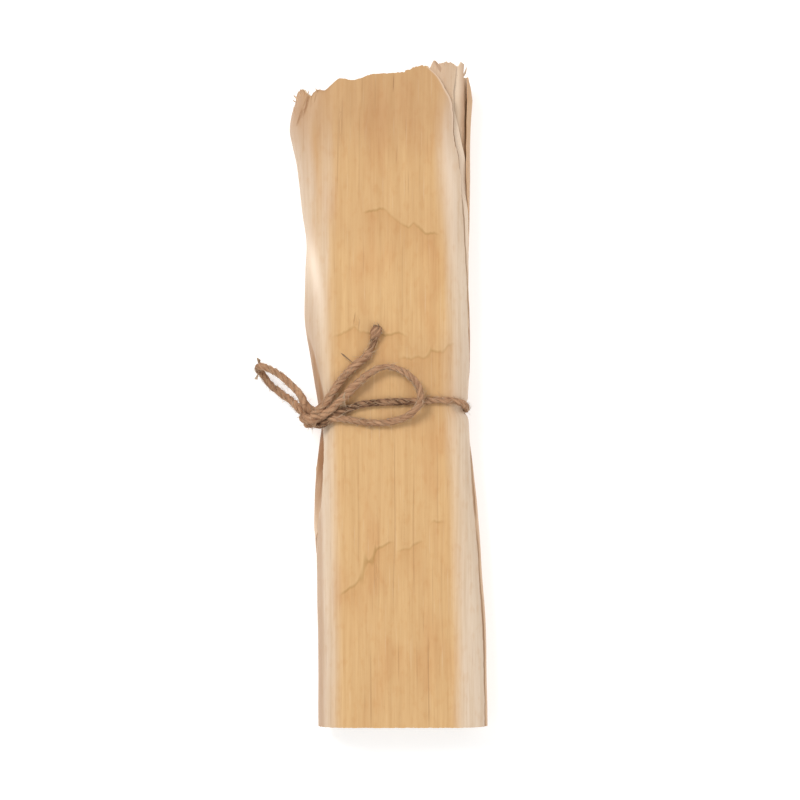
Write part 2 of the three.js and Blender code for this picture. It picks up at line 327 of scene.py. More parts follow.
def inner_face(name):
    """Inner face of a dried sheath: matt papery tissue stretched over air chambers, so long fibres and short
    cross walls show through it. Chambers are 3.4 by 2.2 mm, and fibres are finer than the 0.8 by 30 mm that
    are drawn, so that they show"""
    made, add = material(name)
    place = add("CombineXYZ", {
        0: add("Attribute", output=2, attribute_name="across"),
        1: add("Attribute", output=2, attribute_name="along"),
    })
    long = add("VectorMath", {0: place, 1: (1 / 0.8, 1 / 30, 1)}, operation="MULTIPLY")
    fibre = add("TexNoise", {"Vector": long, "Scale": 1, "Detail": 2})
    walls = add("VectorMath", {0: place, 1: (1 / 3.4, 1 / 2.2, 1)}, operation="MULTIPLY")
    chamber = add(
        "TexVoronoi", {"Vector": walls, "Scale": 1, "Randomness": 0.35}, feature="DISTANCE_TO_EDGE"
    )
    wall = add("MapRange", dict(zip(RANGE, (chamber, 0.02, 0.12, 1, 0))))
    colour = add("Mix", {0: fibre, 6: paint("#C39B71"), 7: paint("#E3CCAE")}, 2, data_type="RGBA")
    shade = add("Math", {0: wall, 1: 0.35}, operation="MULTIPLY")
    colour = add("Mix", {0: shade, 6: colour, 7: paint("#A88058")}, 2, data_type="RGBA")
    relief = add("Math", {0: fibre, 1: wall}, operation="ADD")
    normal = add("Bump", {"Distance": 0.15 * MM, "Height": relief})
    surface = add("BsdfPrincipled", {
        "Base Color": colour, "Roughness": 0.8, "IOR": DRIED_LEAF_IOR, "Normal": normal,
    })
    add("OutputMaterial", {"Surface": surface})
    return made


def pith(name):
    """Cut and torn edges of a sheath: dry spongy tissue between two skins, pale with brown fibre ends. They
    are finer than the 0.9 mm that is drawn, so that they show"""
    made, add = material(name)
    place = add("NewGeometry")
    speck = add("TexNoise", {"Vector": place, "Scale": 1 / (0.9 * MM), "Detail": 2})
    share = add("MapRange", dict(zip(RANGE, (speck, 0.35, 0.7))))
    colour = add("Mix", {0: share, 6: paint("#EEDFC8"), 7: paint("#D3B48C")}, 2, data_type="RGBA")
    normal = add("Bump", {"Distance": 0.2 * MM, "Height": speck})
    surface = add("BsdfPrincipled", {
        "Base Color": colour, "Roughness": 0.85, "IOR": DRIED_LEAF_IOR, "Normal": normal,
    })
    add("OutputMaterial", {"Surface": surface})
    return made


def jute(name, dark, light):
    """Jute: coarse dry plant fibre spun into plies, so the eye gets slanted fibre streaks and a few bleached
    fibres. A dark brown is painted into the creases between the plies as painted shade, and by place
    as dirt and painted shade. Lumps are 1.3 by 5 mm, and fibres are about 0.1 mm thick and drawn 0.22 by
    4 mm, so that they show"""
    made, add = material(name)
    along, spin, painted_shade_and_dirt = (
        add("Attribute", output=2, attribute_name=key) for key in ("along", "spin", "painted_shade_and_dirt")
    )
    place = add("CombineXYZ", {0: spin, 1: along})
    fine = add("VectorMath", {0: place, 1: (1 / 0.22, 1 / 4, 1)}, operation="MULTIPLY")
    fibre = add("TexNoise", {"Vector": fine, "Scale": 1, "Detail": 3})
    wide = add("VectorMath", {0: place, 1: (1 / 1.3, 1 / 5, 1)}, operation="MULTIPLY")
    lump = add("TexNoise", {"Vector": wide, "Scale": 1, "Detail": 2})
    both = add("Math", {0: fibre, 1: lump}, operation="ADD")
    share = add("MapRange", dict(zip(RANGE, (both, 0.65, 1.4))))
    bleached = add("MapRange", dict(zip(RANGE, (fibre, 0.6, 0.78, 0, 0.5))))
    # The gap mixes in a dark brown: painted shade in the creases between the plies, and dirt and painted
    # shade by place
    gap = add("MapRange", dict(zip(RANGE, (lump, 0.3, 0.6, 1, 0.35))))
    gap = add("Math", {0: gap, 1: painted_shade_and_dirt}, operation="MULTIPLY")
    colour = add("Mix", {0: share, 6: paint(dark), 7: paint(light)}, 2, data_type="RGBA")
    for amount, over in ((bleached, "#D6BB9B"), (gap, "#51331C")):
        colour = add("Mix", {0: amount, 6: colour, 7: paint(over)}, 2, data_type="RGBA")
    normal = add("Bump", {"Distance": 0.15 * MM, "Height": both})
    surface = add("BsdfPrincipled", {
        "Base Color": colour, "Roughness": 0.9, "IOR": JUTE_IOR, "Normal": normal,
    })
    add("OutputMaterial", {"Surface": surface})
    return made


twine_fibre = jute("spun jute twine", "#8A5F42", "#D2A680")

# The twine, one line from the long tail's end through the bow to the short tail
PLIES, PLY_RADIUS, PLY_OFFSET, PLY_SIDES = 3, 1.3, 0.66, 12
LAY = 10.5  # length in which the plies turn once
UNTWISTED, ROUNDED = 2, 1.2  # lengths at the line's ends where the plies run straight and round off
PLY_RIDGES, PLY_SLANT = 9, 0.55  # ridges of fibres round a ply, and how they wind
PLY_APART = 60  # so that the plies aren't streaked alike
# Where the painted shade between the plies starts and is full
CREASE_TOP, CREASE_BOTTOM = 1.82, 1.47  # from the middle of the twine
DARKEST = 1.6
STEP, LINE_FINENESS = 0.4, 24


def on_front(points):
    """Middle of the twine where it lies on the front, with its lift over it"""
    return [[x, y, front_height(x, y) + TWINE / 2 + lift] for x, y, lift in points]


wrap_line = through([
    [-33, -9.4], [-23, -7.4], [-16, -4.9], [-11, -4], [0, -3.4], [11, -3.1], [24, -2.6], [33, -3.9],
    [43, -6.5], [60, -7.6], [80, -8], [124, -10.5],
])
WRAP_START, WRAP_END, WRAP_POINTS = -34.6, 128, 41
wrap_arcs = np.linspace(WRAP_START, WRAP_END, WRAP_POINTS)
wrap_radius = TIED_HALF_THICKNESS + TWINE / 2 - SINK
wrap_path = on_section(wrap_line(wrap_arcs), wrap_radius, wrap_arcs, FRONT).tolist()
right_loop_path = on_front([
    [-31.2, -10.2, 8.4], [-28.3, -8.2, 4.2], [-24.1, -4.6, 2.6], [-19.7, -0.2, 1.8], [-15.3, 4.2, 2],
    [-10.2, 8.6, 2.5], [-5.8, 11.4, 2.8], [-1, 12.6, 3], [4.1, 11.6, 3.2], [8.7, 9, 4], [12.3, 5.3, 4.7],
    [14.2, 0.7, 4.9], [13.9, -3.9, 4.7], [11.4, -7.5, 3.6], [7.8, -10.1, 2.2], [2.7, -12, 1.1],
    [-3.4, -13, 0.4], [-9.4, -12.9, 0.1], [-14.6, -12.1, 0], [-19.2, -11.2, 0.2], [-24.2, -10.8, 0.6],
    [-28, -11.9, 1.6], [-30.3, -13.2, 4.4],
])
tail_path = on_front([
    [-31, -6, 5.6], [-28.4, -2.9, 3.2], [-25.8, 1, 1.2], [-22.6, 5.6, 0.3], [-18.6, 10.2, -0.1],
    [-14.2, 14.3, -0.2], [-10.3, 17.4, -0.2], [-8.2, 21, -0.2], [-7, 24.6, 0], [-5.8, 29, 0.6],
    [-5.3, 31.5, 0.8],
])
left_loop_path = [
    [-38.8, -4.3, 21], [-40.6, -0.2, 21], [-44.3, 3.9, 20], [-48.4, 7.5, 18.4], [-53.2, 10.8, 16.4],
    [-57.2, 12.6, 13.4], [-59.7, 12.9, 9.8], [-60.4, 11.8, 6.2], [-58.3, 8.9, 3.4], [-54.5, 4.3, 2.9],
    [-49.4, 0.2, 6], [-44.9, -2.9, 11.4], [-41.3, -6.4, 17.2],
]
# Through the knot: the tail turns into the right loop, that loop's other strand binds the knot and goes round
# the bundle, the wrap comes out into the left loop, and the left loop ends in the short tail
tail_to_loop = [[-33.6, -8.6, 25], [-34.8, -11.4, 24.4], [-33, -13.5, 22.6]]
loop_to_wrap = [[-34.4, -11.2, 27], [-37.6, -11.2, 24], [-38.9, -10.6, 20], [-37.8, -10.8, 16]]
wrap_to_loop = [[-33.4, -8.9, 20.8], [-36.2, -7, 20.2]]
loop_to_end = [[-38.9, -8.4, 17.8], [-36.6, -10.4, 18.8], [-36.6, -12.8, 18.2], [-37.2, -15, 16.8]]
stretches = [
    ("tail", tail_path[::-1]), ("knot", tail_to_loop), ("right", right_loop_path[::-1]),
    ("knot", loop_to_wrap), ("wrap", wrap_path[::-1]), ("knot", wrap_to_loop), ("left", left_loop_path),
    ("knot", loop_to_end),
]


def smooth_line(points):
    """A rounded line through points, how far along it every place is, and the same for each of the points"""
    points = np.array(points, float)
    padded = np.vstack([2 * points[0] - points[1], points, 2 * points[-1] - points[-2]])
    t = np.linspace(0, 1, LINE_FINENESS, endpoint=False)[:, None]
    line = []
    for p0, p1, p2, p3 in zip(padded, padded[1:], padded[2:], padded[3:]):
        d0, d1, d2 = (max(np.linalg.norm(b - a) ** 0.5, SMALL) for a, b in ((p0, p1), (p1, p2), (p2, p3)))
        m1 = ((p1 - p0) / d0 - (p2 - p0) / (d0 + d1) + (p2 - p1) / d1) * d1
        m2 = ((p2 - p1) / d1 - (p3 - p1) / (d1 + d2) + (p3 - p2) / d2) * d1
        leaving = p1 * (1 + 2 * t) * (1 - t) ** 2 + m1 * t * (1 - t) ** 2
        line.append(leaving + p2 * t * t * (3 - 2 * t) - m2 * t * t * (1 - t))
    line = np.vstack([*line, points[-1:]])
    gone = np.concatenate([[0], np.cumsum(np.linalg.norm(np.diff(line, axis=0), axis=1))])
    return line, gone, gone[::LINE_FINENESS]


raw_line, raw_gone, marks = smooth_line([point for _, points in stretches for point in points])
TOTAL = raw_gone[-1]
count = int(TOTAL / STEP) + 1
gone = np.linspace(0, TOTAL, count)
line = np.stack([np.interp(gone, raw_gone, raw_line[:, i]) for i in range(3)], -1)
heading = unit(np.gradient(line, axis=0))
side = np.empty_like(line)
side[0] = np.cross(heading[0], [0, 0, 1])
for i in range(1, count):
    side[i] = unit(side[i - 1] - heading[i] * (side[i - 1] @ heading[i]))
up = np.cross(heading, side)

# Where each stretch of the line starts and ends; those through the knot reach into their neighbours
spans, first = [], 0
for kind, points in stretches:
    last = first + len(points) - 1
    reach = 1 if kind == "knot" else 0
    spans.append((kind, marks[max(first - reach, 0)], marks[min(last + reach, len(marks) - 1)]))
    first = last + 1


def stretch(kind):
    """Where each stretch of a kind starts and ends"""
    return [(start, end) for name, start, end in spans if name == kind]


def along_line(x, y):
    """How far along the line the place nearest to x and y is"""
    return gone[np.argmin(np.linalg.norm(line[:, :2] - [x, y], axis=1))]


# How stout the twine is: pulled thin round the bundle and in the right loop, thinnest at that loop's top,
# and bulging in the knot
LOOSENED, THINNED = along_line(-18.5, 1), along_line(0, 12.6)
STOUT, STOUT_KNOT, STOUT_FROM_END = {"tail": 0.97, "right": 0.86, "wrap": 0.87, "left": 0.9}, 1.15, 4
girth = through(sorted(
    [
        [place, STOUT[kind]] for kind, start, end in spans if kind in STOUT
        for place in (start + STOUT_FROM_END, end - STOUT_FROM_END)
    ]
    + [[(start + end) / 2, STOUT_KNOT] for start, end in stretch("knot")]
    + [[THINNED - 12, 0.82], [THINNED, 0.7], [THINNED + 11, 0.84]]
))


def below_the_end(places):
    """Dark at the frayed end of the long tail, and painted shade where it is creased below it"""
    y = places[:, 1]
    return 0.9 * bump(y, 25.4, 1.1) + 0.8 * bump(y, 31.6, 1.3) + 0.15 + 0.2 * fade(y, 26, 28)


def in_the_loop(places):
    """Painted shade on the wrap where the right loop shades it, with some dirt, uneven along it"""
    x = places[:, 0]
    return (1.4 + 0.6 * uneven(x / 3.5, 0, 26)) * band(x, -27, -18, 8, 13) * (places[:, 2] > 15)


def under_the_loop(places):
    """The lower strand of the left loop is in the shade"""
    return 0.6 * fade(places[:, 2], 15, 7)


def beside_the_knot(places):
    """Painted shade on the right loop where its strands go into the knot, and a little darker where it
    crosses the wrap
    """
    x, y = places[:, 0], places[:, 1]
    return 1.7 * fade(x, -26, -29) * fade(y, -9, -12) + 0.16 * fade(x, 7, 13)


def in_the_knot(places):
    """The knot is unevenly dirty, and painted shade darkens it at its right below, where the right loop goes
    into it
    """
    x, y = places[:, 0], places[:, 1]
    dirt = np.maximum(0.15 + 0.3 * uneven(x / 3, y / 3, 25), 0)
    return dirt + 1.7 * fade(x, -35, -32) * fade(y, -10, -12.5)


def twine(name, node, kind, shade_and_dirt_by_place):
    """The plies along the stretches of a kind. The last argument gives how dark they are painted, by the
    place on the bundle: dirt, and painted shade where they lie in shade"""
    corners, faces, values, base = [], [], {"along": [], "spin": [], "painted_shade_and_dirt": []}, 0
    around = np.linspace(-np.pi, np.pi, PLY_SIDES, endpoint=False)
    plies = [(start, end, ply) for start, end in stretch(kind) for ply in range(PLIES)]
    for start, end, ply in plies:
        rows = np.flatnonzero((gone >= start - STEP / 2) & (gone <= end + STEP / 2))
        s, stout = gone[rows], girth(gone[rows])
        # The strands open up at the two cut ends and where the right loop has come loose beside the knot, and
        # the long tail has a neck below its end
        opened = 1.2 * bump(s, 3, 2.6) + 0.5 * fade(s, TOTAL - 3, TOTAL) + 0.9 * bump(s, LOOSENED, 7)
        neck = 0.3 * bump(s, 9.8, 3.2)
        turn = 2 * np.pi * (np.minimum(s, TOTAL - UNTWISTED) / LAY + ply / PLIES)
        turn = turn + 0.3 * uneven(s / 9, ply, 21) + 0.5 * uneven(s / 23, 7, 21)
        offset = stout * PLY_OFFSET * (1 + 0.1 * uneven(s / 4, ply, 22) + 0.8 * opened - neck)
        outward = side[rows] * np.cos(turn)[:, None] + up[rows] * np.sin(turn)[:, None]
        centre = line[rows] + outward * offset[:, None]
        forward = unit(np.gradient(centre, axis=0))
        across = unit(outward - forward * np.sum(outward * forward, 1)[:, None])
        third = np.cross(forward, across)
        winding = around[None] / (2 * np.pi) * PLY_RIDGES + s[:, None] / 4.5
        fibres = uneven(winding, s[:, None] / 3 + 40 * ply, 23)
        ends = np.clip(np.minimum(s, TOTAL - s) / ROUNDED, 0.05, 1)
        radius = stout * PLY_RADIUS * (1 + 0.13 * uneven(s / 5, ply + 5, 24) + 0.06 * opened - neck)
        radius = radius[:, None] * (1 + 0.1 * fibres) * np.sqrt(ends)[:, None]
        spokes = np.cos(around)[:, None] * across[:, None] + np.sin(around)[:, None] * third[:, None]
        ring = centre[:, None] + radius[..., None] * spokes
        corners.append(ring.reshape(-1, 3))
        grid, sides = tube(len(rows), PLY_SIDES)
        faces.append(sides + base)
        for cap in (grid[0][::-1], grid[-1]):
            fan = cap[:-3:2]
            fan = np.stack([fan, cap[1:-2:2], cap[2:-1:2], np.full(len(fan), cap[-1])], -1)
            faces.append(fan + base)
        base += grid.size
        reach = np.linalg.norm(ring - line[rows][:, None], axis=2) / stout[:, None]
        # Painted shade in the creases between the plies, less where they open up, and the painted shade and
        # dirt by place
        dark = 0.55 * fade(reach, CREASE_TOP, CREASE_BOTTOM) * (1 - 0.3 * opened[:, None])
        dark = dark + shade_and_dirt_by_place(line[rows])[:, None] * (0.7 + 0.3 * fade(reach, 1.95, 1.4))
        values["along"].append(np.broadcast_to(s[:, None], radius.shape) + PLY_APART * ply)
        values["spin"].append(around[None] * PLY_RADIUS + PLY_SLANT * s[:, None])
        values["painted_shade_and_dirt"].append(np.minimum(dark + 0.6 * fade(s, 1.3, 0.1)[:, None], DARKEST))
    values = {key: np.vstack(value) for key, value in values.items()}
    return piece(
        name, np.vstack(corners), np.vstack(faces), [twine_fibre], None, values, node, "jute", TWINE_SHARP
    )


tail = twine("twine_tail_plies", "twine_tail", "tail", below_the_end)
loop_right = twine("bow_loop_right_plies", "bow_loop_right", "right", beside_the_knot)
loop_left = twine("bow_loop_left_plies", "bow_loop_left", "left", under_the_loop)
twine("twine_wrap_plies", "twine_wrap", "wrap", in_the_loop)
twine("twine_knot_strands", "twine_knot", "knot", in_the_knot)

# Loose fibres. Each is a curve of a few points, with its thickness at its root and towards its pointed end,
# and how dark it is
fuzz_fibre = jute("loose jute fibres", "#9C7A58", "#DCC4A6")
FIBRE_POINTS, FIBRE_SIDES = 6, 3
ALONG = np.linspace(0, 1, FIBRE_POINTS)[:, None]
ASKEW = [0.3, 0.5, 0.81]  # a direction that no fibre follows
FIBRE_FLOOR = 0.15
FIBRE_LENGTHS, FIBRE_SWEEPS, FIBRE_TWIRL, FIBRE_BEND = (1.2, 3.8), (0.6, 1.6), 0.9, 0.22
LONG_SHARE, LONGER = 0.12, 1.5
FLAT_SHARE, FLAT_LIFTS, LIFTS = 0.5, (-0.1, 0.15), (0.1, 0.6)
FIBRE_ROOT, FIBRE_END, FIBRE_POINT, FIBRE_DARKEST = 0.09, 0.045, 0.1, 0.25
ROOTED = 0.15  # how deep a fibre starts in the twine
FIBRE_APART, SPIN_APART = 7.3, 1.7  # so that the fibres aren't streaked alike


def loose_fibres(name, kind, every, seed, tufts=(), strays=()):
    """Short fibres that stand off the twine, tufts at places along it, and strays drawn one by one, all as
    thin three-sided tubes"""
    dice = np.random.default_rng(seed)
    places = [(place, 1) for start, end in stretch(kind) for place in np.arange(start + 0.5, end, every)]
    places += [(place, longer) for place, number, longer in tufts for _ in range(number)]
    fibres = list(strays)
    for place, longer in places:
        i = int(np.clip((place + dice.uniform(-0.5, 0.5) * every * longer) / STEP, 0, count - 1))
        angle = dice.uniform(0, 2 * np.pi)
        outward = side[i] * np.cos(angle) + up[i] * np.sin(angle)
        sweep = heading[i] * dice.choice([-1, 1]) * dice.uniform(*FIBRE_SWEEPS)
        twirl = np.cross(heading[i], outward) * dice.uniform(-FIBRE_TWIRL, FIBRE_TWIRL)
        length = dice.uniform(*FIBRE_LENGTHS) * longer
        length = length * (LONGER if dice.uniform() < LONG_SHARE else 1)
        lifts = FLAT_LIFTS if dice.uniform() < FLAT_SHARE else LIFTS
        lift = dice.uniform(*lifts) * longer
        root = line[i] + outward * (girth(gone[i]) * TWINE / 2 - ROOTED)
        curve = root + ALONG * length * (sweep + twirl + outward * lift) / FIBRE_SWEEPS[1]
        curve = curve + ALONG**2 * length * dice.normal(0, FIBRE_BEND, 3)
        curve[:, 2] = np.maximum(curve[:, 2], FIBRE_FLOOR)
        fibres.append((curve, (FIBRE_ROOT, FIBRE_END, FIBRE_DARKEST * dice.uniform())))
    corners, faces, dirt = [], [], []
    turns = [2 * math.pi * k / FIBRE_SIDES for k in range(FIBRE_SIDES)]
    for number, (curve, (root, end, dark)) in enumerate(fibres):
        forward = np.gradient(curve, axis=0)
        first = unit(np.cross(forward, ASKEW))
        second = unit(np.cross(forward, first))
        thin = root + (end - root) * ALONG
        thin[-1] *= FIBRE_POINT
        ring = [curve + thin * (first * math.cos(a) + second * math.sin(a)) for a in turns]
        corners.append(np.stack(ring, 1).reshape(-1, 3))
        faces.append(tube(FIBRE_POINTS, FIBRE_SIDES, number)[1])
        dirt.append(dark)
    size = FIBRE_POINTS * FIBRE_SIDES
    along = np.repeat(np.arange(len(fibres)) * FIBRE_APART, size)
    values = {"along": along, "spin": along * SPIN_APART, "painted_shade_and_dirt": np.repeat(dirt, size)}
    return piece(
        name, np.vstack(corners), np.vstack(faces), [fuzz_fibre], None, values, None, "jute", TWINE_SHARP
    )


def straight(start, run):
    """A fibre without a bend"""
    return np.array(start) + ALONG * run


# A woody splinter sticks out of the tail, and its cut end is frayed into knobs
splinter = np.array([
    [-16.4, 14.4, 27], [-17.6, 15.4, 27.5], [-18.7, 16.3, 27.9], [-19.8, 17.2, 28.2], [-20.9, 18.1, 28.4],
    [-22, 19, 28.5],
])
tail_fuzz = loose_fibres(
    "twine_tail_fibres", "tail", 0.15, 1, tufts=[(1.5, 24, 0.9), (5, 10, 0.7)],
    strays=[
        (splinter, (0.14, 0.5, 0.95)),
        (straight([-4.6, 28.6, 28.2], [1.7, -0.8, 0.1]), (0.7, 0.15, 0.8)),
        (straight([-5.2, 30.6, 29], [0.5, 1.5, 0.2]), (0.6, 0.2, 1)),
        (straight([-6.1, 30.6, 28.8], [-0.6, 1.2, 0.1]), (0.5, 0.15, 0.5)),
    ],
)
# A loosened strand of the right loop hangs over the wrap
fall = np.array([
    [-20, 1, 30.2], [-20.5, -0.6, 30.6], [-20.9, -2.2, 30.4], [-21.1, -3.8, 29.8], [-21, -5.4, 29.1],
    [-20.6, -6.8, 28.3],
])
spread = np.linspace(0.1, 1, FIBRE_POINTS)[:, None] ** 1.5
right_fuzz = loose_fibres(
    "bow_loop_right_fibres", "right", 0.16, 2, tufts=[(LOOSENED, 14, 1)],
    strays=[
        (fall + spread * [0.5 * (i - 3.5), 0.35 * (i % 3), -0.2 * (i % 2)], (0.2, 0.07, 0.3 + 0.1 * (i % 3)))
        for i in range(8)
    ],
)
# Whiskers stand off the left loop's tip, upwards and downwards in the picture
left_start, left_end = stretch("left")[0]
left_tip = gone[np.argmin(np.where((gone > left_start) & (gone < left_end), line[:, 0], 0))]
upwards = [
    (straight([-60, 13.6, 10], [0.5 * i - 0.8, 3.6 - 0.3 * i, 0.6]), (0.1, 0.42, 0.4)) for i in range(4)
]
downwards = [
    (straight([-60.2, 9.9, 5], [0.6 * i - 2.1, -3.1 - 0.2 * i, -0.6]), (0.08, 0.34, 0.3)) for i in range(3)
]
left_fuzz = loose_fibres(
    "bow_loop_left_fibres", "left", 0.16, 3, tufts=[(left_tip - 2, 9, 1.5), (left_tip + 3, 9, 1.5)],
    strays=upwards + downwards,
)
loose_fibres("twine_wrap_fibres", "wrap", 0.2, 4)
loose_fibres("twine_knot_fibres", "knot", 0.15, 5)


# Bark, with the skin of each slot: dark, light, pale, cream and umber, and how rough it is
SKINS = {
    slot: bark_skin(*look) for slot, look in {
        "front_bark": ("golden", "#CEA36E", "#DAB17B", "#E1CBB3", "#D6BDA1", "#A57852", 0.5),
        "inner_bark": ("pale", "#CBAA88", "#DBBF9E", "#E4D0BC", "#D8BFA6", "#A07350", 0.6),
        "core_bark": ("brown", "#B98E62", "#D0A87C", "#DCC3A6", "#CDB08E", "#8C6240", 0.65),
        "back_bark": ("tan", "#C69E76", "#DAB38B", "#E0C6AC", "#D3B292", "#94633A", 0.52),
    }.items()
}
papery = inner_face("papery inner side of a sheath")
sponge = pith("spongy sheath edge")
SKIN, PAPER, SPONGE = 0, 1, 2  # the order of a sheath's materials

# Torn skin on the front sheath: lines across it, left to right
TEARS = [
    [[-12.1, 83.5], [-6.6, 83.8], [-4.1, 85.2], [-0.9, 83.8], [2.3, 80.6], [5, 78.3], [8.7, 76.5],
     [11.3, 78.5], [13.9, 76.2], [16.4, 73.3], [19.6, 73.8], [23.1, 73.3]],
    [[-25.7, 26.3], [-21.9, 27.6], [-17.6, 29.9], [-16, 31.7], [-13.4, 28.5], [-9.1, 28.2], [-0.5, 27.2],
     [4.4, 28.2], [8.7, 26.7]],
    [[4.6, 16.2], [7.6, 16.9], [10.3, 15.9], [13.2, 17.4], [16.1, 16.6], [18.2, 17.7], [19.2, 20.6],
     [21.2, 19.4], [24.3, 19.2], [26.4, 21.9], [30, 23.4]],
    [[-22.6, -91.5], [-19.2, -89.3], [-15.7, -87.2], [-11.9, -82.2], [-11.2, -76.5], [-7.3, -76],
     [-6.5, -71.7], [-4.1, -70.1], [-0.2, -67.8], [2.1, -67.4]],
    [[3.7, -71.7], [9.1, -70.5], [11.4, -68.3], [16, -66.7]],
    [[18.7, -58.9], [20.9, -57.8], [25.3, -58.1]],
]
# Long dark fibres and splits on the front sheath: from, to and how dark
VEINS = [
    [2.3, -95, 2.6, -20, 0.6], [11.4, -92, 11.2, -40, 0.5], [-5, -100, -4.6, -60, 0.5],
    [-14.2, -80, -14, -24, 0.4], [22.4, -60, 22, -22, 0.5], [-8.4, -153, -8.2, -116, 0.6],
    [18.3, -153, 18, -110, 0.85], [6, 32, 6.3, 70, 0.4], [-14, 90, -13.6, 130, 0.5],
    [1.9, 138.4, 2.2, 146, 1.3], [-16.2, 32, -15.4, 37.4, 1], [-13.9, 29.6, -13.4, 34.6, 0.8],
    [-39.4, 127.6, -37, 137.5, 1.9], [-42.6, 123, -40, 131, 1.5], [-34.4, 133, -33.2, 138, 0.9],
    [-23.5, 92, -23.2, 130, 0.6], [14, 90, 14.2, 122, 0.35], [12.7, -135, 12.6, -113, 0.4],
    [4.4, -131, 4.3, -113, 0.45], [15.7, -109, 15.6, -98, 0.5], [20.1, -108, 19.9, -76, 0.4],
    [24, -113, 23.6, -73, 0.4], [-6.6, -89, -6.5, -74, 0.6], [-6.4, 128, -6.2, 146, 0.4],
    [-12.4, 130, -12.2, 145, 0.35], [-21.6, 117, -21.3, 135, 0.7], [8.9, 91, 8.8, 102, 0.5],
    [3.2, 105, 3.8, 114, 0.5], [7.6, 118, 7.8, 127, 0.45], [17.4, 108, 17.6, 120, 0.35],
    [-38.7, 128.5, -36.4, 137.4, 1.3], [-42, 123.4, -39.5, 131, 1], [-40.1, 130, -37.7, 137, 0.9],
]


BARE_REACH = 11
WANDERING_VEIN, VEIN_ENDS = 20, 8  # the shortest vein that wanders, and the longest that a vein's ends fade


def torn_skin(x, y):
    """Distance over the nearest tear, its strength, and how bare the skin is below the tears"""
    nearest, strength, bare = np.full_like(x, FAR), np.zeros_like(x), np.zeros_like(x)
    for points in TEARS:
        xs, ys = np.array(points).T
        wander = 0.35 * uneven(x / 0.9, 0, len(points)) + 0.2 * uneven(x / 2.3, 3, len(points))
        here = np.interp(x, xs, ys) + wander
        slope = np.interp(x, (xs[1:] + xs[:-1]) / 2, np.diff(ys) / np.diff(xs))
        offset = (y - here) / np.sqrt(1 + slope**2)
        reach = band(x, xs[0] - 0.6, xs[0] + 3, xs[-1] - 3, xs[-1] + 0.6)
        wide = band(x, xs[0] - 3, xs[0] + 4, xs[-1] - 4, xs[-1] + 3)
        closer = (np.abs(offset) < np.abs(nearest)) & (reach > 0)
        nearest = np.where(closer, offset, nearest)
        strength = np.where(closer, reach, strength)
        bare = np.maximum(bare, wide * np.exp(np.minimum(y - here, 0) / BARE_REACH) * (offset < 2))
    return nearest, strength, bare


def long_veins(x, y):
    """Distance to the nearest of the veins, and its strength"""
    nearest, strength = np.full_like(x, FAR), np.zeros_like(x)
    for x0, y0, x1, y1, dark in VEINS:
        run = min(VEIN_ENDS, (y1 - y0) / 3)
        wander = 0.4 * (y1 - y0 > WANDERING_VEIN) * uneven(y / 30, x0, 31)
        offset = x - x0 - (x1 - x0) * (y - y0) / (y1 - y0) - wander
        here = dark * band(y, y0 - run / 2, y0 + run, y1 - run, y1 + run / 2)
        closer = (np.abs(offset) < np.abs(nearest)) & (here > 0)
        nearest = np.where(closer, offset, nearest)
        strength = np.where(closer, here, strength)
    return nearest, strength


def degrees(points):
    """How far a margin goes round the shoulder, from degrees along the sheath"""
    turn = through(points)
    return lambda y, radius: np.radians(turn(y)) * radius


def worn(y, seed):
    """How unevenly a margin is worn away"""
    return 0.3 * uneven(y / 5, 1, seed + 7) + 0.15 * uneven(y / 1.4, 2, seed + 7)


def flush(y):
    """A margin that neither stands off nor curls"""
    return np.zeros_like(y)


OTHER_SIDE = 60  # so that the right margin isn't worn like the left one
RIDGES = ((0.15, 5.5, 120, 0), (0.08, 1.9, 80, 1), (0.04, 0.9, 50, 4), (0.3, 17, 70, 2))
RIDGE_LEVEL, INNER_RIDGES = 0.15, 0.6  # how far ridges sink the skin, and what is left of them inside
RIM_WIDTH, CURL_FROM, CUT_WAVE, SHEATH_FLOOR = 5, 0.72, 0.12, 0.02
CHAMBER_COLUMNS, WALL_DEPTH, CHAMBER_DEPTH, SOLID_RIM, CHAMBER_SIDES = 5, 0.1, 1.3, 1.2, (0.2, 0.8)


